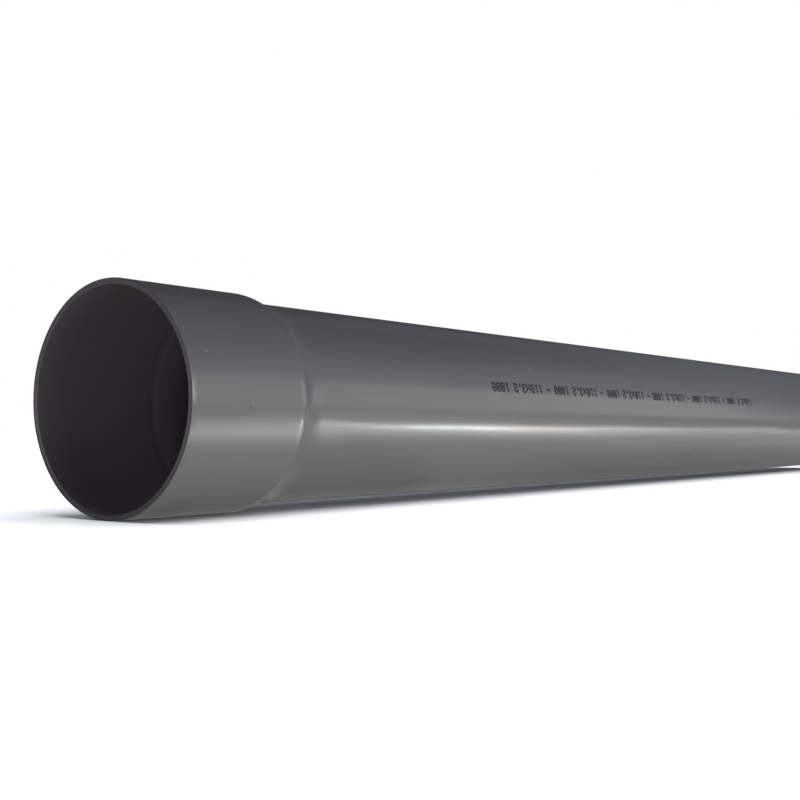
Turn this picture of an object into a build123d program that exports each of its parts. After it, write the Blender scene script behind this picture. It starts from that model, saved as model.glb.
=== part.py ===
from build123d import *
import os
from math import atan2, pi, sqrt, tan

# One length of rigid PVC-U pipe for buried cables and drains, with a plain socket formed on one end.
# The pipe lies along X. The origin is the centre of the socket's mouth, the mouth opens towards -X,
# and the plain end, the spigot, is at the +X end.

# The pipe, in millimetres
pipe_diameter = 110.0  # outside, the size that the pipe is sold by
pipe_wall = 3.2
laying_length = 1000.0  # what one pipe adds to a run: from the socket's shoulder to the spigot's end

# The socket, which slips over the next pipe's spigot
socket_clearance = 0.8  # all round the spigot
socket_depth = 77.0  # from the mouth to where the bore's line meets the shoulder's
shoulder_length = 12.0  # along the axis, from the socket's bore down to the pipe's
stop_radius = 10.0  # inside corner between the socket's bore and its shoulder
foot_radius = 55.0  # long outside curve between the shoulder and the pipe

# The cut ends
mouth_bevel = 0.4  # inside edge of the mouth, both along and across
spigot_bevel_length = 2.0  # outside edge of the spigot, along the axis
spigot_bevel_depth = 1.0  # and across the wall

# Radii and stations that follow from the sizes above
pipe_outer_radius = pipe_diameter / 2
pipe_inner_radius = pipe_outer_radius - pipe_wall
socket_inner_radius = pipe_outer_radius + socket_clearance
overall_length = socket_depth + laying_length


def stretched_outer_radius(inner_radius):
    """Outer radius of the pipe's wall once it is opened to a larger bore.

    The warm end of the pipe is pushed over a mandrel. Its length hardly changes, so the ring keeps
    the area of the pipe's section, and the wider the bore is, the thinner its wall becomes.
    """
    section = pi * (pipe_outer_radius**2 - pipe_inner_radius**2)
    return sqrt(inner_radius**2 + section / pi)


def half_turn(high_radius, low_radius):
    """Half of the angle by which the shoulder slopes between two radii."""
    return atan2(high_radius - low_radius, shoulder_length) / 2


def wall_profile():
    """Half section of the wall in the XY plane, with the pipe's axis along X."""
    socket_outer_radius = stretched_outer_radius(socket_inner_radius)
    socket_wall = socket_outer_radius - socket_inner_radius
    shoulder_end = socket_depth + shoulder_length

    # The outside follows the mandrel's shape one wall further out, which moves its corners along
    # the axis by the wall times the tangent of half the turn.
    inner_half_turn = half_turn(socket_inner_radius, pipe_inner_radius)
    outer_stop = socket_depth + socket_wall * tan(inner_half_turn)
    outer_foot = shoulder_end + pipe_wall * tan(inner_half_turn)

    outside = FilletPolyline(
        (0, socket_outer_radius),
        (outer_stop, socket_outer_radius),
        (outer_foot, pipe_outer_radius),
        (overall_length - spigot_bevel_length, pipe_outer_radius),
        radius=[stop_radius + socket_wall, foot_radius],
    )
    inside = FilletPolyline(
        (overall_length, pipe_inner_radius),
        (shoulder_end, pipe_inner_radius),
        (socket_depth, socket_inner_radius),
        (mouth_bevel, socket_inner_radius),
        radius=[foot_radius + pipe_wall, stop_radius],
    )
    spigot_end = Polyline(
        outside @ 1,
        (overall_length, pipe_outer_radius - spigot_bevel_depth),
        inside @ 0,
    )
    mouth_end = Polyline(
        inside @ 1,
        (0, socket_inner_radius + mouth_bevel),
        outside @ 0,
    )
    return make_face([outside, spigot_end, inside, mouth_end])


def make_pipe():
    """The whole pipe, turned once round its axis: socket, shoulder and barrel are one wall."""
    return revolve(wall_profile(), axis=Axis.X)


os.makedirs("parts", exist_ok=True)
export_step(make_pipe(), "parts/pipe.step")
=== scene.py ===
# %% [markdown]
# # A plastic duct pipe, lying on its side
#
# The part is one length of dark-grey PVC pipe. Its near end was warmed and pushed over a mandrel,
# which opened it into a socket for the next pipe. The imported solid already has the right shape, but
# it is made of flat facets. This lesson gives it a finely turned wall with the small marks that an
# extruder leaves, a plastic with its two degrees of gloss, and a line of printed figures.

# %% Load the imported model
import bpy
import numpy as np
from mathutils import Euler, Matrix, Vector


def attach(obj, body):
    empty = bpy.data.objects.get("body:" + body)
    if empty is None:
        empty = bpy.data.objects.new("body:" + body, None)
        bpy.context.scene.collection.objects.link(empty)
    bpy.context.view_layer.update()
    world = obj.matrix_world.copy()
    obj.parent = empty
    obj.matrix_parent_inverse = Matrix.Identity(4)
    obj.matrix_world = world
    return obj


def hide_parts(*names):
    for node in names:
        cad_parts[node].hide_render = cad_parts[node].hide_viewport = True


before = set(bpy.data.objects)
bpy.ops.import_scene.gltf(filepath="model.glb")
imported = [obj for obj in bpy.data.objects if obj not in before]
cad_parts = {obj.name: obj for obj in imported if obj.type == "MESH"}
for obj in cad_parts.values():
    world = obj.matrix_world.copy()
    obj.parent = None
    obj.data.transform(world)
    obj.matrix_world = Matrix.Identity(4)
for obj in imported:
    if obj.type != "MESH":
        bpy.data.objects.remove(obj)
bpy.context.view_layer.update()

# %% [markdown]
# ## Sizes
#
# The scene can't read the CAD source, so the pipe's sizes are said again here, in metres. The pipe
# lies along X. The socket's mouth is at zero, and the floor touches the underside of the socket.

# %% Name the sizes
MM = 0.001
PIPE_LENGTH = 1077.0 * MM
PIPE_RADIUS = 55.0 * MM
PIPE_WALL = 3.2 * MM
BORE_RADIUS = PIPE_RADIUS - PIPE_WALL
SOCKET_BORE_RADIUS = 55.8 * MM
SOCKET_RADIUS = (SOCKET_BORE_RADIUS**2 + PIPE_RADIUS**2 - BORE_RADIUS**2) ** 0.5
SOCKET_WALL = SOCKET_RADIUS - SOCKET_BORE_RADIUS
SOCKET_DEPTH = 77.0 * MM
SHOULDER_LENGTH = 12.0 * MM
STOP_RADIUS = 10.0 * MM
FOOT_RADIUS = 55.0 * MM
MOUTH_BEVEL = 0.4 * MM
SPIGOT_BEVEL_LENGTH = 2.0 * MM
SPIGOT_BEVEL_DEPTH = 1.0 * MM
FLOOR = -SOCKET_RADIUS
print("Socket outside diameter, mm:", round(2 * SOCKET_RADIUS / MM, 2))

# %% [markdown]
# ## Camera
#
# The photograph was taken level, from beside the mouth, with a lens a little longer than normal.
# The place and the lens were worked out from the mouth's ellipse, the pipe's two edges and the
# shoulder. The small vertical shift keeps the camera level while the pipe sits above the middle of
# the frame, so upright lines stay upright.

# %% Set the camera
CAMERA_PLACE = (-0.3645, -0.4461, -0.0164)
CAMERA_TURN = 36.583  # degrees from the pipe's axis to the way the camera looks

camera_data = bpy.data.cameras.new("photo_camera")
camera_data.sensor_width = 36.0
camera_data.lens = 52.15
camera_data.shift_y = 0.0418
camera_data.clip_start = 0.01
camera_data.clip_end = 100.0
camera = bpy.data.objects.new("photo_camera", camera_data)
camera.location = CAMERA_PLACE
camera.rotation_euler = Euler((np.radians(90.0), 0.0, np.radians(CAMERA_TURN - 90.0)))
bpy.context.scene.collection.objects.link(camera)
bpy.context.scene.camera = camera
print("The camera looks along the pipe, turned by", CAMERA_TURN, "degrees")

# %% [markdown]
# ## From a grid of points to a mesh
#
# Every shape below is a function of two parameters, worked out for the whole grid at once. These
# helpers make the grid, put its three coordinates together, and turn it into quads. A grid that
# closes on itself both ways, as a pipe's wall does, gives a mesh with no open edge at all.

# %% Make the mesh helpers


def grid_of(first, second):
    """The two parameters at every point of their grid."""
    return np.meshgrid(first, second, indexing="ij")


def points_at(x, y, z):
    """Points from their three coordinates, where a plain number serves every point."""
    return np.stack(np.broadcast_arrays(x, y, z), -1)


def quads_of_grid(rows, columns, rows_close=False, columns_close=False):
    """Corner numbers of each quad of a grid.

    They go round it: its own point, the next row's, the one beside that, and the one beside its
    own.
    """
    row = np.arange(rows if rows_close else rows - 1)[:, None]
    column = np.arange(columns if columns_close else columns - 1)[None, :]
    next_row = (row + 1) % rows
    next_column = (column + 1) % columns
    corners = [row * columns + column, next_row * columns + column,
               next_row * columns + next_column, row * columns + next_column]
    return np.stack(np.broadcast_arrays(*corners), -1).reshape(-1, 4)


def mesh_piece(name, points, faces):
    """A smooth-shaded object at the origin, from an array of points and an array of faces."""
    mesh = bpy.data.meshes.new(name)
    mesh.from_pydata(points.reshape(-1, 3).tolist(), [], faces.tolist())
    mesh.validate()
    mesh.shade_smooth()
    piece = bpy.data.objects.new(name, mesh)
    bpy.context.scene.collection.objects.link(piece)
    print(name, "has", len(mesh.vertices), "points and", len(mesh.polygons), "faces")
    return piece


print("A grid of 3 by 4 points has", len(quads_of_grid(3, 4)), "quads, and closed both ways",
      len(quads_of_grid(3, 4, True, True)))

# %% [markdown]
# ## Rounded corners
#
# The pipe is a turned shape, so one closed outline of its wall is enough. Each corner of the
# outline gets an arc: large ones at the shoulder, where the plastic stretched over the mandrel, and
# tiny ones at the cut ends, which catch a thin line of light as a real edge does. Between the arcs
# the points stand close together near the ends of a run and wide apart in its middle. That keeps
# the shading of a flat run from being bent by the arc beside it.

# %% Round a corner and divide a run


def corner_arc(before, corner, after, radius, steps):
    """Points on the arc that touches both sides of a corner.

    The arc's centre lies on the corner's bisector, and its points are the centre plus the radius
    times a direction that turns evenly from one side's normal to the other's.
    """
    back = (before - corner) / np.linalg.norm(before - corner)
    onward = (after - corner) / np.linalg.norm(after - corner)
    half_angle = np.arccos(np.clip(back @ onward, -1, 1)) / 2
    centre = corner + (back + onward) / np.linalg.norm(back + onward) * radius / np.sin(half_angle)
    first = corner + back * radius / np.tan(half_angle) - centre
    last = corner + onward * radius / np.tan(half_angle) - centre
    start = np.arctan2(first[1], first[0])
    turn = (np.arctan2(last[1], last[0]) - start + np.pi) % (2 * np.pi) - np.pi
    angles = start + turn * np.linspace(0, 1, steps)
    return centre + radius * np.stack([np.cos(angles), np.sin(angles)], -1)


def run_between(start, end, longest):
    """Points inside a straight run, at shares (1 - cos) / 2 of it, so they crowd at its ends."""
    count = max(4, int(np.ceil(np.linalg.norm(end - start) / longest)))
    share = (1 - np.cos(np.pi * np.arange(1, count) / count)) / 2
    return start + (end - start) * share[:, None]


inside_ten = run_between(np.zeros(1), np.full(1, 10.0), 2.0)
print("A run of ten, divided in five, has points at", inside_ten.ravel().round(2))

# %% [markdown]
# ## The wall's outline
#
# The mandrel shapes the inside of the socket, and the outside follows one wall further out. That
# moves the outside's corners along the pipe, by the wall times the tangent of half the turn. The
# outline starts at the mouth's outer edge, runs along the outside to the spigot and comes back
# through the bore.

# %% Draw the wall's outline
HALF_TURN = np.arctan2(SOCKET_BORE_RADIUS - BORE_RADIUS, SHOULDER_LENGTH) / 2
OUTER_STOP = SOCKET_DEPTH + SOCKET_WALL * np.tan(HALF_TURN)
OUTER_FOOT = SOCKET_DEPTH + SHOULDER_LENGTH + PIPE_WALL * np.tan(HALF_TURN)
SAWN_EDGE = 0.15 * MM  # the radius that a deburred saw cut has
OUTSIDE_CORNERS = 3  # the mouth's edge, the crest and the foot; the bevel and the bore come after

# Each corner: station, radius from the axis, radius of its arc, points on it, longest run after it
outline = np.array([
    (0.0, SOCKET_RADIUS, 0.25 * MM, 4, 12 * MM),
    (OUTER_STOP, SOCKET_RADIUS, STOP_RADIUS + SOCKET_WALL, 12, 4 * MM),
    (OUTER_FOOT, PIPE_RADIUS, FOOT_RADIUS, 20, 14 * MM),
    (PIPE_LENGTH - SPIGOT_BEVEL_LENGTH, PIPE_RADIUS, 0.4 * MM, 3, 1 * MM),
    (PIPE_LENGTH, PIPE_RADIUS - SPIGOT_BEVEL_DEPTH, SAWN_EDGE, 3, 1 * MM),
    (PIPE_LENGTH, BORE_RADIUS, SAWN_EDGE, 4, 30 * MM),
    (SOCKET_DEPTH + SHOULDER_LENGTH, BORE_RADIUS, FOOT_RADIUS + PIPE_WALL, 14, 4 * MM),
    (SOCKET_DEPTH, SOCKET_BORE_RADIUS, STOP_RADIUS, 9, 15 * MM),
    (MOUTH_BEVEL, SOCKET_BORE_RADIUS, SAWN_EDGE, 3, 1 * MM),
    (0.0, SOCKET_BORE_RADIUS + MOUTH_BEVEL, SAWN_EDGE, 3, 1 * MM),
])
corners = outline[:, :2]
arcs = [corner_arc(before, corner, after, radius, int(steps))
        for before, corner, after, (radius, steps)
        in zip(np.roll(corners, 1, 0), corners, np.roll(corners, -1, 0), outline[:, 2:4])]
runs = [run_between(arc[-1], next_arc[0], longest)
        for arc, next_arc, longest in zip(arcs, arcs[1:] + arcs[:1], outline[:, 4])]
profile = np.concatenate([part for pair in zip(arcs, runs) for part in pair])
outside_parts = arcs[:OUTSIDE_CORNERS] + runs[:OUTSIDE_CORNERS]
on_outside = np.arange(len(profile)) < sum(len(part) for part in outside_parts) + 1
print("The outline has", len(profile), "points,", on_outside.sum(), "of them outside")

# %% [markdown]
# ## What the extruder and the oven leave
#
# A real pipe is never a perfect cylinder. The die gives it faint ridges that run straight down its
# length, the puller lets it swell and shrink a little, and the reheated socket cools slightly oval.
# These are hundredths of a millimetre, far too little to measure by eye, but a long highlight shows
# them at once. They are real relief in the mesh, as a sum of cosines of the angle round the pipe
# and of the station along it, and they only go inwards, so the pipe never grows past its solid.

# %% Work out the relief
MICRON = 1e-6
marks = np.random.default_rng(11)
DIE_WAVES = np.array([3, 5, 8, 13, 21, 34, 55])
DIE_HEIGHTS = np.array([14, 12, 8, 5, 3, 1.6, 0.8]) * MICRON
DIE_PHASES = marks.uniform(0, 2 * np.pi, DIE_WAVES.size)
PULL_LENGTHS = np.array([0.31, 0.17, 0.089, 0.047])
PULL_HEIGHTS = np.array([12, 7, 4, 2]) * MICRON
PULL_PHASES = marks.uniform(0, 2 * np.pi, PULL_LENGTHS.size)
OVEN_WAVES = np.array([2, 3, 4, 7])
OVEN_HEIGHTS = np.array([26, 16, 9, 5]) * MICRON
OVEN_PHASES = marks.uniform(0, 2 * np.pi, OVEN_WAVES.size)
REHEATED = (82 * MM, 118 * MM)  # where the oven's warmth fades out along the pipe
DIE_KEPT_BY_OVEN = 0.45  # the share of a die ridge that is still there on the reheated socket


def eased(value, low, high):
    """0 below low, 1 above high, and a smooth S between them."""
    share = np.clip((value - low) / (high - low), 0, 1)
    return share * share * (3 - 2 * share)


def waves(turns, numbers, heights, phases):
    """Sum of cosine waves at each turn, less the sum of their heights, so never above zero."""
    return (heights * (np.cos(turns[..., None] * numbers + phases) - 1)).sum(-1)


def relief(station, angle):
    """How far the outside lies inside its true radius: die ridges, puller waves and ovality."""
    formed = 1 - eased(station, *REHEATED)
    die = waves(angle, DIE_WAVES, DIE_HEIGHTS, DIE_PHASES) * (1 - (1 - DIE_KEPT_BY_OVEN) * formed)
    pull = waves(2 * np.pi * station, 1 / PULL_LENGTHS, PULL_HEIGHTS, PULL_PHASES)
    oven = waves(angle, OVEN_WAVES, OVEN_HEIGHTS, OVEN_PHASES) * formed
    return die + pull + oven


print("Die ridges lie at most", round(2 * DIE_HEIGHTS.sum() / MICRON), "microns deep")

# %% [markdown]
# ## Turning the wall
#
# The outline is carried round the axis. At an angle of zero a point faces the camera's side, and a
# quarter turn on it is on top. The saw's slight wander is added at the two cut ends.

# %% Turn the wall
AROUND = 448
SAW_WAVES = np.array([1, 2, 5, 11, 23])
SAW_HEIGHTS = np.array([60, 30, 12, 8, 5]) * MICRON
SAW_REACH = 3 * MM  # how far from a cut the points still follow the saw


def carried_round(station, radius, angle):
    """A point at each station, radius and angle: x is the station, and the radius turns about X."""
    return points_at(station, -radius * np.cos(angle), radius * np.sin(angle))


station, angle = grid_of(profile[:, 0], np.arange(AROUND) * 2 * np.pi / AROUND)
saw = -waves(angle, SAW_WAVES, SAW_HEIGHTS, DIE_PHASES[:SAW_WAVES.size])
near_mouth = np.clip(1 - station / SAW_REACH, 0, 1)
near_spigot = np.clip(1 - (PIPE_LENGTH - station) / SAW_REACH, 0, 1)
inwards = on_outside[:, None] * relief(station, angle)
wall_points = carried_round(station + saw * (near_mouth - near_spigot), profile[:, 1:] + inwards,
                            angle)
pipe = mesh_piece("duct_pipe", wall_points, quads_of_grid(len(profile), AROUND, True, True))
print("Relief on the outside, mm:", round(float(inwards.min() / MM), 3), "at most")

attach(pipe, "root")
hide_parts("pipe")

# %% [markdown]
# ## Marks that the plastic reads
#
# Three attributes on the points tell the plastic's material where the outside was dulled in the
# oven, where the wall was sawn, and where it is the bore. The dulled share fades over the crest of
# the shoulder. A sawn point is within a millimetre of an end, and the outline there runs across the
# pipe and not along it.

# %% Mark the dulled, sawn and inner wall
DULLED = (72 * MM, 79 * MM)  # where the socket's dull skin fades out along the pipe
CUT_REACH = 1 * MM

at_station = profile[:, 0]
along, across = np.abs(np.gradient(profile, axis=0)).T
runs_across = along < 0.5 * np.hypot(along, across)
near_an_end = (at_station < CUT_REACH) | (at_station > PIPE_LENGTH - CUT_REACH)
wall_marks = {"dulled": 1 - eased(at_station, *DULLED), "cut": runs_across & near_an_end,
              "bore": ~on_outside}
for name, values in wall_marks.items():
    layer = pipe.data.attributes.new(name, "FLOAT", "POINT")
    layer.data.foreach_set("value", np.repeat(values.astype(float), AROUND))
    print("Outline points marked", name + ":", np.count_nonzero(values))

# %% [markdown]
# ## A short way to write node graphs
#
# A material is a small program of nodes. One helper makes a node, sets its plain values and joins
# what is a link, so that a graph reads as a list of steps. The others name the steps that come back
# in every material: a pattern, a change of range, a sum or product, and a mix of two colours.

# %% Make the node helpers


def node(tree, kind, inputs=None, **settings):
    """A new node. An input that is a socket is joined, and any other input is set as a value."""
    made = tree.nodes.new("ShaderNode" + kind)
    for name, value in settings.items():
        setattr(made, name, value)
    for name, value in (inputs or {}).items():
        if isinstance(value, bpy.types.NodeSocket):
            tree.links.new(value, made.inputs[name])
        else:
            made.inputs[name].default_value = value
    return made


def emptied(owner):
    """The node tree of a material or a world, with nothing in it yet."""
    owner.use_nodes = True
    owner.node_tree.nodes.clear()
    return owner.node_tree


def shown(tree, shader, output="OutputMaterial"):
    """The shader sent to the surface that is rendered."""
    node(tree, output, {"Surface": shader.outputs[0]})
    print(shader.bl_label, "is joined, and its tree has", len(tree.nodes), "nodes")


print("The helpers for a tree are", [helper.__name__ for helper in (node, emptied, shown)])

# %% Make the pattern helpers


def attribute(tree, name):
    """One of the piece's own attributes, as a node with an output for a number and for a colour."""
    return node(tree, "Attribute", attribute_name=name).outputs


def mapped(tree, scale, place=(0, 0, 0)):
    """Object coordinates, stretched by a scale. A small number along X draws a pattern out."""
    coordinates = node(tree, "TexCoord").outputs["Object"]
    settings = {"Vector": coordinates, "Scale": scale, "Location": place}
    return node(tree, "Mapping", settings).outputs["Vector"]


def noise(tree, scale, detail=2.0, roughness=0.5, place=(0, 0, 0)):
    """Noise between 0 and 1 with its own stretch in each direction, in features a metre."""
    settings = {"Vector": mapped(tree, scale, place), "Scale": 1.0, "Detail": detail,
                "Roughness": roughness}
    return node(tree, "TexNoise", settings).outputs[0]


def ranged(tree, value, low, high, to_low=0.0, to_high=1.0, curve="LINEAR"):
    """A value carried from one range to another and held at its ends."""
    settings = {"Value": value, "From Min": low, "From Max": high, "To Min": to_low,
                "To Max": to_high}
    return node(tree, "MapRange", settings, interpolation_type=curve, clamp=True).outputs[0]


def product(tree, first, second):
    """Two values multiplied."""
    return node(tree, "Math", {0: first, 1: second}, operation="MULTIPLY").outputs[0]


def total(tree, first, second):
    """Two values added."""
    return node(tree, "Math", {0: first, 1: second}, operation="ADD").outputs[0]


def blended(tree, share, first, second):
    """Two colours mixed by a share, from the first at 0 to the second at 1."""
    return node(tree, "Mix", {0: share, 6: first, 7: second}, data_type="RGBA").outputs[2]


def bumped(tree, height, strength, distance, below=None, invert=False):
    """The surface's direction, tipped by a height, on top of the bumps below it."""
    settings = {"Strength": strength, "Distance": distance, "Height": height}
    if below is not None:
        settings["Normal"] = below
    return node(tree, "Bump", settings, invert=invert).outputs["Normal"]


steps = (attribute, mapped, noise, ranged, product, total, blended, bumped)
print("The steps of a pattern are", [step.__name__ for step in steps])

# %% [markdown]
# ## The plastic's patterns
#
# The pipe is plain PVC with a little soot and chalk in it, so it is dark and almost neutral. Over
# all of it lie faint clouds, lines along the pipe from the die, a fine grain, a few short rub
# marks, and nicks that break its shine. Each is noise on Object coordinates drawn out along X, so
# it has no seam.

# %% Draw the plastic's patterns
pvc = bpy.data.materials.new("dark_grey_pvc")
tree = emptied(pvc)
dulled, cut, bore = [attribute(tree, name)["Fac"] for name in ("dulled", "cut", "bore")]
coordinates = node(tree, "TexCoord").outputs["Object"]
place = node(tree, "SeparateXYZ", {"Vector": coordinates}).outputs
depth, height = place["X"], place["Z"]

cloud = noise(tree, (9, 26, 26), detail=3.0, roughness=0.55)
die_line = noise(tree, (1.1, 620, 620), roughness=0.6)
grain = noise(tree, (900, 1500, 1500), roughness=0.6)
rub_noise = noise(tree, (24, 900, 900), detail=3.0, roughness=0.7, place=(0.3, 0.1, 0.7))
rub_mark = ranged(tree, rub_noise, 0.74, 0.80, curve="SMOOTHSTEP")
nick_noise = noise(tree, (430, 60, 60), roughness=0.6, place=(0.2, 0.5, 0.1))
unnicked = ranged(tree, nick_noise, 0.70, 0.76, 1.0, 0.15, curve="SMOOTHSTEP")
print("The patterns take", len(tree.nodes), "nodes")

# %% [markdown]
# ## The plastic's colour
#
# The clouds run between a sootier and a chalkier grey, the die's lines and the rub marks are a
# touch paler, and a pale speck sits in a few of the cells of a cellular pattern. The sawn ends are
# painted darker, as painted shade on the cut faces.

# %% Colour the outside
SOOTY_GREY = (0.095, 0.092, 0.094, 1)
CHALKY_GREY = (0.108, 0.104, 0.104, 1)
DIE_LINE_GREY = (0.113, 0.109, 0.110, 1)
RUBBED_GREY = (0.15, 0.15, 0.152, 1)
SPECK_GREY = (0.3, 0.29, 0.28, 1)
# The sawn ends' grey is painted shade on the cut faces
SHADED_SAWN_GREY = (0.016, 0.016, 0.018, 1)

cells = node(tree, "TexVoronoi", {"Vector": mapped(tree, (75, 75, 75)), "Scale": 1.0},
             feature="F1").outputs
cell_number = node(tree, "SeparateColor", {"Color": cells["Color"]}).outputs[0]
speck = product(tree, ranged(tree, cells["Distance"], 0.03, 0.07, 1.0, 0.0),
                ranged(tree, cell_number, 0.93, 0.94, 0.0, 0.5))
body = blended(tree, ranged(tree, cloud, 0.3, 0.7), SOOTY_GREY, CHALKY_GREY)
# Paler die lines, rub marks and specks, then the sawn ends' painted shade
for share, grey in ((ranged(tree, die_line, 0.25, 0.75, 0.0, 0.5), DIE_LINE_GREY),
                    (product(tree, rub_mark, 0.35), RUBBED_GREY),
                    (speck, SPECK_GREY),
                    (product(tree, cut, 0.9), SHADED_SAWN_GREY)):
    body = blended(tree, share, body, grey)
print("The outside's grey goes from", SOOTY_GREY[0], "to", CHALKY_GREY[0])

# %% [markdown]
# ## The bore's colour
#
# Down the bore the wall is seen by light that has come off the wall many times, and a few bounces
# in a studio don't give that. So light and shade are painted into the bore's colour by depth:
# painted shade at the mouth, painted light further in, and the pipe's own grey past the middle.
# Painted shade also darkens it low at the mouth, at the stop where the next pipe would end, and
# along the top, and a little painted light makes it paler low down.

# %% Colour the bore
# Painted shade at the mouth, painted light deeper in, and the pipe's own grey far in
SHADED_MOUTH_GREY = (0.082, 0.068, 0.075, 1)
LIT_SOCKET_GREY = (0.194, 0.153, 0.177, 1)
LIT_DEEP_GREY = (0.312, 0.250, 0.288, 1)
FAR_GREY = (0.100, 0.096, 0.099, 1)
SHADE = (0.020, 0.018, 0.020, 1)
STOP_SHADE = (0.020, 0.020, 0.020, 1)

# Depths are metres from the mouth, and heights are metres above the pipe's axis
# Painted shade low at the mouth
shade_low_at_mouth = product(tree, ranged(tree, height, -0.045, -0.010, 0.55, 0.0),
                       ranged(tree, depth, 0.010, 0.060, 1.0, 0.0))
inner = blended(tree, ranged(tree, depth, 0.02, 0.085), SHADED_MOUTH_GREY, LIT_SOCKET_GREY)
# Painted light deeper in and low down; painted shade low at the mouth, at the stop and along the top
for share, grey in ((ranged(tree, depth, 0.11, 0.30), LIT_DEEP_GREY),
                    (ranged(tree, depth, 0.32, 0.48), FAR_GREY),
                    (ranged(tree, height, -0.05, 0.03, 0.10, 0.0), LIT_DEEP_GREY),
                    (shade_low_at_mouth, SHADE),
                    (ranged(tree, depth, 0.072, 0.081, 0.0, 0.36), STOP_SHADE),
                    (ranged(tree, height, 0.0, 0.045, 0.0, 0.22), SHADE)):
    inner = blended(tree, share, inner, grey)
body = blended(tree, product(tree, bore, 0.9), body, inner)
print("The bore's grey goes from", SHADED_MOUTH_GREY[0], "over", LIT_DEEP_GREY[0], "to", FAR_GREY[0])

# %% [markdown]
# ## The plastic's gloss
#
# The pipe's looks are in its gloss. The barrel comes out of a polished die, and its skin shines in
# a narrow line over a wider one, so it is a satin plastic under a thin clear coat, and the nicks
# break the coat. The socket was reheated, which lets the chalk come up and leaves a softer sheen,
# but where the plastic was stretched tight over the mandrel's edge, the crest of the shoulder
# shines again. The sawn ends and the bore are rougher and have no coat.

# %% Set the gloss and finish the plastic
BARREL_ROUGHNESS = (0.19, 0.225)  # in the die's lines and between them
COAT_ON_BARREL = 0.18
COAT_ON_SOCKET = 0.03
COAT_ON_CREST = 0.5

gloss = ranged(tree, die_line, 0.3, 0.7, *BARREL_ROUGHNESS)
for mark, rougher in ((rub_mark, 0.16), (dulled, 0.045), (cut, 0.14), (bore, 0.12)):
    gloss = total(tree, gloss, product(tree, mark, rougher))

lined = bumped(tree, die_line, 0.12, 0.03 * MM)
grained = bumped(tree, grain, 0.15, 0.02 * MM, below=lined)
rubbed = bumped(tree, rub_mark, 0.2, 0.04 * MM, below=grained, invert=True)

crest = product(tree, ranged(tree, depth, 0.0745, 0.0753),
                ranged(tree, depth, 0.0772, 0.0782, 1.0, 0.0))
coat = product(tree, unnicked, ranged(tree, dulled, 0.0, 1.0, COAT_ON_BARREL, COAT_ON_SOCKET))
coat = total(tree, coat, product(tree, crest, COAT_ON_CREST))
coat = product(tree, coat, ranged(tree, total(tree, cut, bore), 0.0, 1.0, 1.0, 0.0))
shown(tree, node(tree, "BsdfPrincipled", {
    "Base Color": body, "Roughness": gloss, "Normal": rubbed, "IOR": 1.53, "Coat Weight": coat,
    "Coat Roughness": 0.05, "Coat Normal": lined}))
pipe.data.materials.append(pvc)

# %% [markdown]
# ## The printed figures
#
# Such a pipe carries a line of small dark figures, shot on by an ink jet as it leaves the extruder.
# Each figure is five dots wide and seven high. Here it says only the pipe's size, diameter by wall,
# and its length, over and over. The pipe lies with its print upside down, so the line is turned
# half round.

# %% Set the type
FIGURES = {
    "0": "01110 10001 10011 10101 11001 10001 01110",
    "1": "00100 01100 00100 00100 00100 00100 01110",
    "2": "01110 10001 00001 00110 01000 10000 11111",
    "3": "01110 10001 00001 00110 00001 10001 01110",
    "x": "00000 00000 10001 01010 00100 01010 10001",
    ".": "00000 00000 00000 00000 00000 01100 01100",
    "-": "00000 00000 00000 11111 00000 00000 00000",
    " ": "00000 00000 00000 00000 00000 00000 00000",
}
PRINT_START = 261.0 * MM
PRINT_END = 732.0 * MM
DOT_ACROSS = 0.90 * MM
LETTER_STEP = 6 * DOT_ACROSS

letters = int((PRINT_END - PRINT_START) / LETTER_STEP)
words = ("110x3.2 1000 - " * 6)[:letters]
dots = np.array([[list(map(int, row)) for row in FIGURES[letter].split()] for letter in words])
letter_number, row_number, column_number = np.nonzero(dots)
print(words, "has", len(letter_number), "dots")

# %% [markdown]
# ## Drops of ink
#
# Each dot is a thin closed drop of ink, wrapped on the barrel by reading its width as a distance
# along the pipe and its height as an angle. Its rings stand between two poles, one on top and one
# sunk under the skin, and no two drops land quite where they should.

# %% Lay the ink on the barrel
PRINT_ANGLE = np.radians(14.3)
MIDDLE_ROW = 3
DOT_UP = 0.84 * MM
DOT_RADIUS = 0.80 * MM
DROP_SIDES = 8
# Each row: a ring's share of the drop's radius and its height over the skin, poles first and last
DROP_PROFILE = np.array([(0.0, 28), (0.62, 24), (1.0, 6), (0.9, -60), (0.0, -60)]) * (1, MICRON)
DROP_RINGS = len(DROP_PROFILE) - 2

jitter = marks.normal(0, 0.05 * MM, (3, len(letter_number)))
dot_x = PRINT_END - letter_number * LETTER_STEP - column_number * DOT_ACROSS + jitter[0]
dot_angle = PRINT_ANGLE + ((row_number - MIDDLE_ROW) * DOT_UP + jitter[1]) / PIPE_RADIUS
dot_size = DOT_RADIUS + jitter[2]


def drops_of_ink(x, angle, size):
    """Each drop's top pole, rings and lower pole.

    A ring's point is the drop's middle plus the ring's share of its size, wrapped on the barrel, at
    the ring's height over the skin.
    """
    round_it = np.arange(DROP_SIDES) * 2 * np.pi / DROP_SIDES
    share, height = DROP_PROFILE[1:-1].T[..., None]
    ring_x = x[:, None, None] + size[:, None, None] * share * np.cos(round_it)
    ring_angle = angle[:, None, None] + size[:, None, None] * share * np.sin(round_it) / PIPE_RADIUS
    ring_radius = PIPE_RADIUS + relief(ring_x, ring_angle) + height
    rings = carried_round(ring_x, ring_radius, ring_angle).reshape(len(x), -1, 3)
    top, under = [carried_round(x, PIPE_RADIUS + relief(x, angle) + pole_height, angle)[:, None]
                  for pole_height in DROP_PROFILE[[0, -1], 1]]
    return np.concatenate([top, rings, under], 1)


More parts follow.
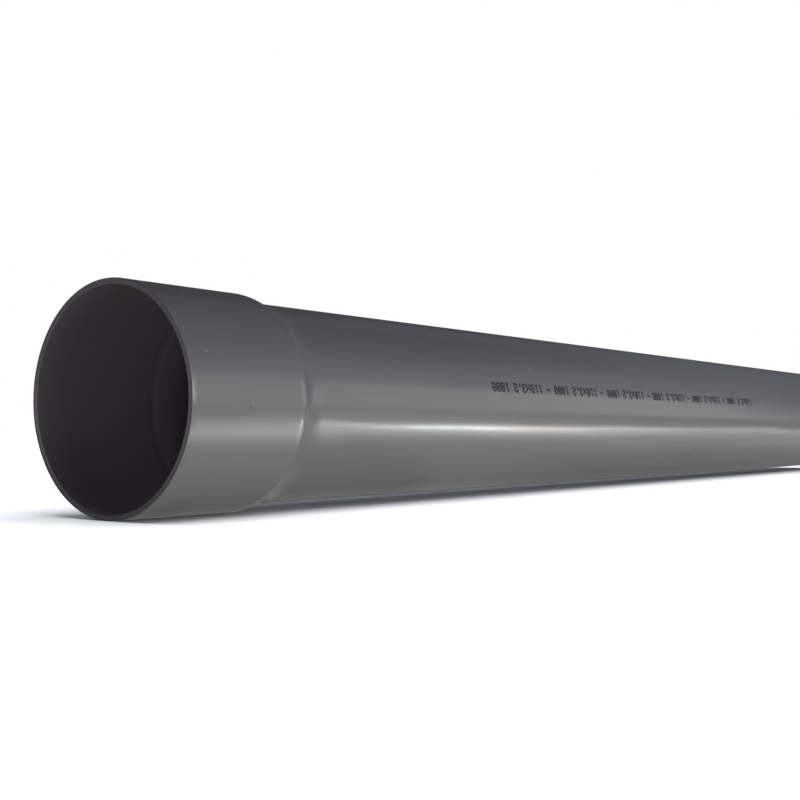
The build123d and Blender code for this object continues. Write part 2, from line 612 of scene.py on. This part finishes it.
def faces_of_drop():
    """Corner numbers of one drop's triangles: a fan round each pole, and two in each quad."""
    around = np.arange(DROP_SIDES)
    beside = (around + 1) % DROP_SIDES
    last_ring = 1 + (DROP_RINGS - 1) * DROP_SIDES
    under_pole = 1 + DROP_RINGS * DROP_SIDES
    top = points_at(0, 1 + around, 1 + beside)
    bottom = points_at(last_ring + around, under_pole, last_ring + beside)
    sides = 1 + quads_of_grid(DROP_RINGS, DROP_SIDES, False, True)
    return np.concatenate([top, bottom, sides[:, [0, 1, 2]], sides[:, [0, 2, 3]]])


ink_points = drops_of_ink(dot_x, dot_angle, dot_size)
first_point = np.arange(len(dot_x))[:, None, None] * ink_points.shape[1]
printed = mesh_piece("printed_size", ink_points, (faces_of_drop() + first_point).reshape(-1, 3))
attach(printed, "root")

# %% [markdown]
# ## The ink
#
# Jet ink dries matt and nearly black, thin enough at its edges to let some grey through. A fine
# noise makes some drops greyer than others.

# %% Mix the ink
THICK_INK = (0.004, 0.004, 0.005, 1)
THIN_INK = (0.012, 0.012, 0.014, 1)

ink = bpy.data.materials.new("black_jet_ink")
tree = emptied(ink)
thinness = ranged(tree, noise(tree, (260, 700, 700), roughness=0.6), 0.35, 0.7)
dried = bumped(tree, noise(tree, (2500, 2500, 2500)), 0.3, 0.02 * MM)
shown(tree, node(tree, "BsdfPrincipled", {
    "Base Color": blended(tree, thinness, THICK_INK, THIN_INK), "Roughness": 0.6, "Normal": dried,
    "IOR": 1.45}))
printed.data.materials.append(ink)

# %% [markdown]
# ## Floor
#
# The pipe lies on a plain pale floor, wide enough to reach past every view. A faint mottle, as in
# card, keeps it from being one flat colour.

# %% Lay the floor
FLOOR_HALF = 30.0
FLOOR_LINES = 13
PALE_CARD = (0.90, 0.90, 0.90, 1)
PALER_CARD = (0.93, 0.93, 0.93, 1)

lines = np.linspace(-FLOOR_HALF, FLOOR_HALF, FLOOR_LINES)
floor = mesh_piece("studio_floor", points_at(*grid_of(lines, lines), FLOOR),
                   quads_of_grid(FLOOR_LINES, FLOOR_LINES))
paper = bpy.data.materials.new("pale_floor")
tree = emptied(paper)
mottle = ranged(tree, noise(tree, (14, 14, 14)), 0.3, 0.7)
shown(tree, node(tree, "BsdfDiffuse", {"Color": blended(tree, mottle, PALE_CARD, PALER_CARD)}))
floor.data.materials.append(paper)

# %% [markdown]
# ## Surroundings
#
# The surroundings are white to the eye and to reflections, and a dim cool light to everything else.
# Light Path tells the kinds of ray apart.

# %% Light the surroundings
AMBIENT = 0.46
COOL_WHITE = (0.93, 0.98, 1.09, 1)

world = bpy.data.worlds.new("pale_room")
bpy.context.scene.world = world
tree = emptied(world)
ray = node(tree, "LightPath").outputs
seen = ray["Is Camera Ray"]
for kind in ("Is Glossy Ray", "Is Transmission Ray"):
    seen = node(tree, "Math", {0: seen, 1: ray[kind]}, operation="MAXIMUM").outputs[0]
dim = node(tree, "Background", {"Color": COOL_WHITE, "Strength": AMBIENT}).outputs[0]
white = node(tree, "Background", {"Color": (1, 1, 1, 1), "Strength": 1.0}).outputs[0]
shown(tree, node(tree, "MixShader", {0: seen, 1: dim, 2: white}), "OutputWorld")
bpy.context.scene.view_settings.view_transform = "Standard"

# %% [markdown]
# ## Lamps
#
# A soft box stands beside the barrel and gives the pipe its form. It is kept clear of the mouth, so
# the bore stays dark. A pale floor needs more light than a dark pipe, so a second lamp is linked to
# the floor alone: it makes the floor white and adds no light to the pipe. It leans over from the
# camera's side, so the pipe's soft shadow falls under it and behind it.

# %% Place the soft box
BOX_WIDTH = 0.8
BOX_HEIGHT = 0.36
BOX_RADIANCE = 5.3

box_lamp = bpy.data.lights.new("side_soft_box", "AREA")
box_lamp.shape = "RECTANGLE"
box_lamp.size = BOX_WIDTH
box_lamp.size_y = BOX_HEIGHT
box_lamp.energy = BOX_RADIANCE * np.pi * BOX_WIDTH * BOX_HEIGHT
soft_box = bpy.data.objects.new("side_soft_box", box_lamp)
soft_box.location = (0.42, -1.25, 0.16)
towards_pipe = Vector((0.42, 0.0, 0.0)) - soft_box.location
soft_box.rotation_euler = towards_pipe.to_track_quat("-Z", "Y").to_euler()
soft_box.visible_camera = False
bpy.context.scene.collection.objects.link(soft_box)
print("The soft box gives", round(box_lamp.energy, 2), "watts")

# %% Link a lamp to the floor
sky = bpy.data.lights.new("floor_light", "SUN")
sky.energy = 3.0
sky.angle = np.radians(70.0)
floor_light = bpy.data.objects.new("floor_light", sky)
floor_light.rotation_euler = (np.radians(18), np.radians(6), 0)
bpy.context.scene.collection.objects.link(floor_light)
for use, members in {"receiver": [floor], "blocker": [pipe, printed]}.items():
    group = bpy.data.collections.new("floor_light_" + use)
    for member in members:
        group.objects.link(member)
    setattr(floor_light.light_linking, use + "_collection", group)
    print("The floor's lamp has as", use + ":", [member.name for member in members])

# %% [markdown]
# ## Sheets that glow
#
# Glossy plastic is drawn by what it mirrors, and a studio is full of cards and strips that only the
# reflections see. Here each of them is a sheet of points, and every point carries the light that
# leaves it as three numbers. Each sheet is hidden from the camera and from the kinds of ray that it
# isn't meant for, so it is a plain way to say "the pipe mirrors this much light in that direction"
# and nothing else. Its levels are read off short tables of place and level.

# %% Make sheets that glow
ONLY_MIRRORED = ("diffuse", "shadow", "transmission")


def read_off(table, place):
    """The level at each place, on straight lines between the table's entries of place: level."""
    return np.interp(place, list(table), list(table.values()))


def lit_up(sheet, radiance, hidden_from=ONLY_MIRRORED, colour=(1.0, 1.0, 1.0)):
    """The sheet, lit and hidden. Each point's light is its radiance times its colour."""
    light = sheet.data.attributes.new("radiance", "FLOAT_VECTOR", "POINT")
    levels = np.broadcast_to(np.ravel(radiance), len(sheet.data.vertices))
    light.data.foreach_set("vector", (levels[:, None] * np.reshape(colour, (-1, 3))).ravel())
    glow = bpy.data.materials.new(sheet.name + "_glow")
    tree = emptied(glow)
    shown(tree, node(tree, "Emission", {"Color": attribute(tree, "radiance")["Vector"]}))
    sheet.data.materials.append(glow)
    for kind in ("camera", *hidden_from):
        setattr(sheet, "visible_" + kind, False)


def glowing_sheet(name, points, radiance, hidden_from=ONLY_MIRRORED, colour=(1.0, 1.0, 1.0)):
    """A lit sheet from a grid of points."""
    sheet = mesh_piece(name, points, quads_of_grid(*points.shape[:2]))
    lit_up(sheet, radiance, hidden_from, colour)


print("A table of 1: 0 and 3: 4 gives", read_off({1: 0.0, 3: 4.0}, 2), "at 2")

# %% [markdown]
# ## The strip light
#
# The long bright line low on the barrel is the mirror image of a thin light that lies along the
# floor. A mirrored ray leaves the barrel at the angle at which the camera's ray came in, so each
# place along the strip serves one place along the pipe. That lets the strip be dim beside the
# socket, very bright beside the line's white part and dim again far away, with three short gaps
# that break the white. It is slightly cool in the bright part and slightly warm after it. It leans
# away from the pipe and glows most at its foot, so the line's lower edge is crisp and its upper one
# soft.

# %% Lay the strip light along the floor
STRIP_Y = -0.134
STRIP_TILT = np.radians(26.0)
STRIP_TALL = 20.0 * MM
TALLER_AT_SOCKET = 4.0 * MM
GAPS = np.array([0.2875, 0.323, 0.3667])
GAP_HALF = 4.5 * MM
foot_above_floor = {0.168: 0.5, 0.190: 4.0, 0.24: 3.5, 0.27: 2.0, 0.36: 1.5, 0.42: 0.5, 0.54: 0.5,
                    0.60: 2.0, 1.08: 3.0}
core_levels = {0.05: 2.9, 0.168: 2.9, 0.19: 3.7, 0.23: 4.2, 0.27: 7.6, 0.31: 16.3, 0.41: 18.3,
               0.46: 12.0, 0.60: 5.2, 0.80: 3.0, 1.08: 1.6}
core_lowered = {0.40: 0.0, 0.46: 0.02, 0.60: 0.04, 0.75: 0.05, 0.85: 0.08}
veil_levels = {0.20: 0.0, 0.26: 2.0, 0.60: 1.9, 0.75: 1.1}

strip_x, strip_share = grid_of(np.linspace(0.05, 1.08, 413), np.linspace(0, 1, 21))
at_socket = 1 - eased(strip_x, 0.190, 0.270)
strip_up = strip_share * (STRIP_TALL + TALLER_AT_SOCKET * at_socket)
strip_z = FLOOR + MM * read_off(foot_above_floor, strip_x) + strip_up * np.cos(STRIP_TILT)
# The core fades out between two shares of the height, higher beside the socket, lower far along
lowered = read_off(core_lowered, strip_x)
above_core = eased(strip_share, 0.22 - lowered + 0.48 * at_socket,
                   0.56 - 1.5 * lowered + 0.44 * at_socket)
in_gap = np.clip(1 - np.abs(strip_x[..., None] - GAPS) / GAP_HALF, 0, 1).sum(-1)
strip_levels = (read_off(core_levels, strip_x) * (1 - above_core) * (1 - 0.9 * in_gap)
                + read_off(veil_levels, strip_x) * (1 - eased(strip_share, 0.75, 1.0)))
strip_colours = points_at(read_off({0.26: 1.0, 0.30: 0.965, 0.38: 0.965, 0.43: 1.0}, strip_x),
                          read_off({0.39: 1.0, 0.45: 0.93, 0.53: 0.94, 0.60: 1.0}, strip_x),
                          read_off({0.39: 1.0, 0.45: 0.89, 0.53: 0.91, 0.60: 1.0}, strip_x))
glowing_sheet("strip_light", points_at(strip_x, STRIP_Y - strip_up * np.sin(STRIP_TILT), strip_z),
              strip_levels, ("diffuse",), strip_colours)

# %% [markdown]
# ## Fill and glint
#
# A fill light before the strip gives the barrel's lower side soft light, and nothing mirrors it. A
# small light near the socket does the opposite: it is only mirrored, as a glint on the crest of the
# shoulder.

# %% Lay the fill light and place the glint
FILL_Y = -0.115
FILL_TALL = 12.0 * MM
KICK_Y = -0.090
KICK_LEVEL = 6.5
fill_levels = {0.0: 3.3, 0.15: 3.3, 0.3: 2.0, 0.5: 0.6, 0.8: 0.2}

fill_x, fill_share = grid_of(np.linspace(0.0, 0.8, 81), np.linspace(0, 1, 3))
fill_z = FLOOR + 1.0 * MM + FILL_TALL * fill_share
glowing_sheet("fill_light", points_at(fill_x, FILL_Y, fill_z), read_off(fill_levels, fill_x),
              ("glossy", "shadow"))

kick_x, kick_z = grid_of(np.linspace(0.119, 0.130, 5), np.linspace(-0.030, -0.021, 4))
glowing_sheet("kick_light", points_at(kick_x, KICK_Y, kick_z), KICK_LEVEL)

# %% [markdown]
# ## Vanes
#
# The shoulder's slope turns its mirrored rays away from the barrel's, along the pipe. Without help
# it would mirror the same bright strip and lose its dark band. So dark vanes stand on the strip's
# near side, like the grid on a studio light. Each follows the way that the barrel's own mirrored
# rays take, so the barrel sees past them, and the shoulder sees their dark sides. A ray that leaves
# the barrel at a station runs on along the pipe by its slope, which is the station's distance from
# the camera along the pipe, over the camera's distance aside.

# %% Fit the vanes beside the strip
CAMERA_BACK = -CAMERA_PLACE[0]
CAMERA_ASIDE = 392.6 * MM  # from the barrel's side to the camera, across the pipe
STRIP_REACH = 0.205  # the ray's way on to the strip, as a share of the camera's distance aside
VANE_STEP = 12.0 * MM
VANE_DEPTH = 14.0 * MM
VANE_SLANT = 6.0 * MM  # how much lower its top is at the strip than at its other end
FOOT = FLOOR + 0.5 * MM
vane_tops = {0.40: -0.012, 0.48: -0.032, 0.75: -0.032, 0.85: -0.040}
VANE_FOOT_LEVEL = 0.40
VANE_TOP_LEVEL = 0.10


def ray_slope(station):
    """The slope of the camera's ray to a station: the metres along for each metre across."""
    return (station + CAMERA_BACK) / CAMERA_ASIDE


vane_x = np.arange(0.222, 1.08, VANE_STEP)
vane_y = STRIP_Y + 1.0 * MM
served = (vane_x - CAMERA_BACK * STRIP_REACH) / (1 + STRIP_REACH)
inner_x, inner_y = vane_x - VANE_DEPTH * ray_slope(served), vane_y + VANE_DEPTH
top = read_off(vane_tops, vane_x)
vane_points = np.stack([points_at(vane_x, vane_y, FOOT), points_at(inner_x, inner_y, FOOT),
                        points_at(inner_x, inner_y, top),
                        points_at(vane_x, vane_y, top - VANE_SLANT)], 1)
vanes = mesh_piece("strip_vanes", vane_points, np.arange(4 * len(vane_x)).reshape(-1, 4))
lit_up(vanes, np.tile(np.repeat([VANE_FOOT_LEVEL, VANE_TOP_LEVEL], 2), len(vane_x)))

# %% [markdown]
# ## Blades
#
# Lower down, the shoulder would mirror the bright floor before the strip. Low dark blades lie there
# and follow the barrel's rays too, which come down more and more steeply towards the pipe. The law
# of reflection gives the way: at an angle a below the pipe's side, a ray that came in with a slope
# s leaves along (s, -cos 2a, -sin 2a). So each blade is drawn from the strip's side inwards, one
# short step after the other, each with the slope of the ray that lands there.

# %% Lay the blades on the floor
BLADE_TALL = 3.5 * MM
BLADE_LEVEL = 0.36

side_angle = -np.radians(np.linspace(12.0, 45.0, 100))
reach = (-FLOOR + PIPE_RADIUS * np.sin(side_angle)) / np.sin(-2 * side_angle)
landing_y = -PIPE_RADIUS * np.cos(side_angle) - np.cos(2 * side_angle) * reach
blade_y = np.linspace(-0.119, -0.070, 9)
blade_angle = np.interp(blade_y, landing_y, side_angle)
blade_reach = np.interp(blade_y, landing_y, reach) / CAMERA_ASIDE
blade_x = [np.arange(0.186, 0.62, VANE_STEP)]
for y_step, ray_angle, ray_reach in zip(np.diff(blade_y), blade_angle, blade_reach):
    ray_start = (blade_x[-1] - CAMERA_BACK * ray_reach) / (1 + ray_reach)
    blade_x.append(blade_x[-1] - y_step * ray_slope(ray_start) / np.cos(2 * ray_angle))
blade_x = np.stack(blade_x, 1)
blade_points = points_at(blade_x[..., None], blade_y[:, None], FOOT + BLADE_TALL * np.arange(2))
first_corner = np.arange(len(blade_x))[:, None, None] * 2 * len(blade_y)
blade_quads = (quads_of_grid(len(blade_y), 2) + first_corner).reshape(-1, 4)
lit_up(mesh_piece("floor_blades", blade_points, blade_quads), BLADE_LEVEL)

# %% [markdown]
# ## Dark screen
#
# The upper side of the barrel would mirror the white room, and in the photograph it is nearly
# black. So a dark screen, a part of a dome, stands round the pipe. It is open, which means white,
# in a low wedge that the barrel's middle mirrors as a soft band, and it gets darker with height.
# Its levels are tables over its turn about the upright axis and its lift from the floor, both in
# degrees.

# %% Stand the dark screen
SCREEN_RADIUS = 3.0
SCREEN_MIDDLE = (0.4, 0.0, FLOOR + 1.0 * MM)
SCREEN_TINT = np.array([-0.06, -0.02, 0.07])  # slightly blue where it isn't open
level_by_lift = {0: 0.30, 10: 0.30, 14: 0.28, 18: 0.24, 25: 0.215, 29: 0.17, 36: 0.08, 43: 0.05,
                 90: 0.05}
share_by_turn = {-40: 2.0, -28: 1.4, -16: 1.25, -10: 1.0, -4: 0.8, 5: 0.75, 12: 0.68, 20: 0.5,
                 30: 0.3, 120: 0.3, 140: 1.0}
open_lift_by_turn = {-75: 20, -45: 20, -40: 18, -35: 16, -28: 14, -24: 13, -20: 10, -16: -2}
open_level_by_turn = {-40: 1.0, -26: 0.97, -22: 0.92, -19: 0.85, -15: 0.4, -11: 0.3}


def patch(value, rise, fall):
    """1 inside and 0 outside, up a smooth S over the rise's range and down one over the fall's."""
    return eased(value, *rise) * (1 - eased(value, *fall))


turn, lift = grid_of(np.linspace(-75, 175, 101), 90 * np.linspace(0, 0.98, 91))
screen_levels = read_off(level_by_lift, lift)
# Low down it is darker past the open wedge
screen_levels -= 0.15 * (1 - eased(lift, 8, 20)) * eased(turn, -18, -12)
screen_levels *= read_off(share_by_turn, turn)
open_lift = read_off(open_lift_by_turn, turn)
open_share = 1 - eased(lift, open_lift - 1.0, open_lift + 1.5)
screen_levels += (read_off(open_level_by_turn, turn) - screen_levels) * open_share
# A slightly paler patch is mirrored near the top of the pipe
screen_levels += 0.06 * patch(turn, (12, 20), (30, 38)) * patch(lift, (23, 30), (42, 52))
round_it, up = np.radians(turn), np.radians(lift)
screen_points = SCREEN_RADIUS * points_at(np.cos(round_it) * np.cos(up),
                                          np.sin(round_it) * np.cos(up), np.sin(up))
glowing_sheet("dark_screen", screen_points + SCREEN_MIDDLE, screen_levels,
              colour=1 + (1 - open_share[..., None]) * SCREEN_TINT)

# %% [markdown]
# ## Grey cards
#
# The lower side of the barrel mirrors the floor, which is grey to it: a card lies on the floor,
# and the floor's light and shade are painted on it: painted light before the strip and round it,
# and painted shadow of the pipe under it and beside the shoulder. Its levels are tables of the
# station along the pipe and of the distance aside from its axis. A second, darker card lies before
# the mouth, for the sawn rim.

# %% Lay the grey cards
CARD_Z = FLOOR + 0.3 * MM
CARD_LEVEL = 0.48
CARD_COLOUR = (1.0, 0.99, 0.98)
MOUTH_CARD_LEVEL = 0.15

card_x, aside = grid_of(np.concatenate([np.linspace(-0.6, 1.2, 181), np.linspace(1.3, 4.0, 12)]),
                        np.concatenate([np.linspace(0, 0.15, 61), np.linspace(0.2, 4.0, 24)]))
# Painted light on the floor round the strip, before it and beyond it
painted_light_at_strip = (
    read_off({0.078: 0.05, 0.090: 0.35, 0.100: 0.75, 0.110: 1.4, 0.118: 2.2, 0.125: 3.3,
              0.134: 3.3, 0.140: 1.0, 0.150: 0.0}, aside)
    * read_off({0.0: 0.0, 0.05: 1.3, 0.16: 1.25, 0.20: 0.9, 0.25: 0.82, 0.30: 0.8, 0.42: 1.0,
                0.54: 0.95, 0.60: 0.65, 0.80: 0.35, 1.00: 0.25}, card_x))
painted_light_beyond_strip = (read_off({0.15: 0.0, 0.18: 0.6, 0.30: 0.5, 0.50: 0.27, 1.00: 0.0}, aside)
                * read_off({0.45: 0.8, 0.6: 0.5, 0.8: 0.2, 1.0: 0.0, 1.3: -0.3}, card_x))
painted_light_before_strip = 0.1 * patch(aside, (0.05, 0.07), (0.085, 0.1)) * eased(card_x, 0.3, 0.5)
# Painted shadow of the pipe on the floor under it
painted_shadow_under_pipe = (
    read_off({0.0: 1.0, 0.025: 1.0, 0.035: 0.85, 0.049: 0.75, 0.068: 0.2, 0.08: 0.0}, aside)
    * read_off({0.0: 0.25, 0.1: 0.25, 0.14: 0.22, 0.3: 0.22, 0.45: 0.30, 1.0: 0.25}, card_x))
# Painted shadow on the floor beside the shoulder
painted_shadow_by_shoulder = (
    read_off({0.0: 0.03, 0.02: 0.06, 0.046: 0.15, 0.06: 0.18, 0.072: 0.15, 0.085: 0.05,
              0.095: 0.0}, aside)
    * patch(card_x, (0.10, 0.125), (0.21, 0.26)))
card_levels = CARD_LEVEL + painted_light_at_strip + painted_light_beyond_strip + painted_light_before_strip - painted_shadow_under_pipe - painted_shadow_by_shoulder
glowing_sheet("grey_card", points_at(card_x, -aside, CARD_Z), card_levels, colour=CARD_COLOUR)

mouth_x, mouth_y = grid_of(np.linspace(-1.5, 0.0, 4), np.linspace(0.0, 1.5, 4))
glowing_sheet("mouth_card", points_at(mouth_x, mouth_y, CARD_Z), MOUTH_CARD_LEVEL)
